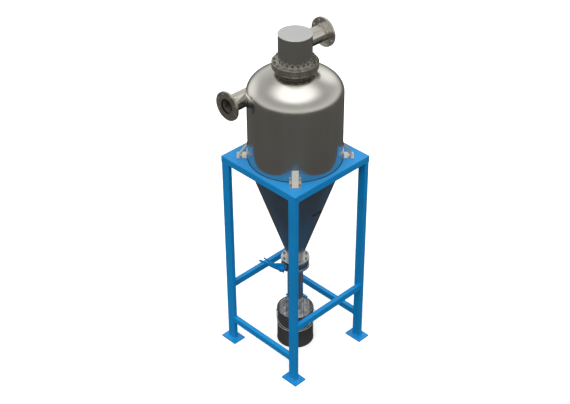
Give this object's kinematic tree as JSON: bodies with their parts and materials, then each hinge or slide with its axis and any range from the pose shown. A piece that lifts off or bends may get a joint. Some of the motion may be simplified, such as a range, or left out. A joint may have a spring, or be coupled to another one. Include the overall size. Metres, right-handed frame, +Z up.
{
  "type": "cyclone separator",
  "caption": "Cyclone dust separator: domed upright vessel with a cone below, tangential flanged inlet, flanged top outlet, valve with lever, dust pail, on a square leg frame.",
  "frame": {"origin": "on the vessel's axis at floor level, midway between the four foot plates", "axes": "+Z up along the vessel's axis; +Y towards the clean gas outlet; the dust-laden gas inlet faces -Y on the -X side; the valve lever points along -X when closed"},
  "size_m": [0.95, 0.945, 3.113],
  "materials": {
    "frame_paint": "satin blue paint",
    "lever_paint": "blue paint",
    "valve_iron": "coated casting",
    "pail_coat": "dark coated sheet",
    "wire": "bright wire",
    "flange_steel": "turned stainless steel",
    "stainless": "polished stainless steel"
  },
  "bodies": {
    "separator": {"brace_front": "frame_paint", "brace_left": "frame_paint", "brace_rear": "frame_paint", "brace_right": "frame_paint", "chamber_flange": "flange_steel", "chamber_lid": "stainless", "cone_flange": "flange_steel", "drop_pipe": "stainless", "foot_plate_front_left": "frame_paint", "foot_plate_front_right": "frame_paint", "foot_plate_rear_left": "frame_paint", "foot_plate_rear_right": "frame_paint", "inlet_flange": "flange_steel", "inlet_pipe": "stainless", "leg_front_left": "frame_paint", "leg_front_right": "frame_paint", "leg_rear_left": "frame_paint", "leg_rear_right": "frame_paint", "lower_flange": "flange_steel", "neck_flange": "flange_steel", "notch_plate": "lever_paint", "outlet_chamber": "stainless", "outlet_flange": "flange_steel", "outlet_neck": "stainless", "outlet_pipe": "stainless", "pail_body": "pail_coat", "support_lug_front_left": "stainless", "support_lug_front_right": "stainless", "support_lug_rear_left": "stainless", "support_lug_rear_right": "stainless", "top_plate": "frame_paint", "top_rail_front": "frame_paint", "top_rail_left": "frame_paint", "top_rail_rear": "frame_paint", "top_rail_right": "frame_paint", "valve_body": "valve_iron", "vessel_cone": "stainless", "vessel_cylinder": "stainless", "vessel_head": "stainless"},
    "lever": {"valve_stem": "stainless", "valve_disc": "stainless", "valve_lever": "lever_paint"},
    "latch": {"lever_latch": "lever_paint"},
    "bail": {"pail_bail": "wire"}
  },
  "joints": [
    {"name": "valve_turn", "type": "hinge", "parent": "separator", "child": "lever", "pos_m": [0, -0.16, 0.878], "axis": [0, -1, 0], "range_deg": [0, 90]},
    {"name": "latch_squeeze", "type": "hinge", "parent": "lever", "child": "latch", "pos_m": [-0.04, -0.157, 0.878], "axis": [0, 0, 1], "range_deg": [0, 6], "stiffness_Nm_per_rad": 1.2, "springref_deg": -9.74},
    {"name": "bail_swing", "type": "hinge", "parent": "separator", "child": "bail", "pos_m": [0, 0, 0.318], "axis": [-0.7071, -0.7071, 0], "range_deg": [0, 98]}
  ]
}
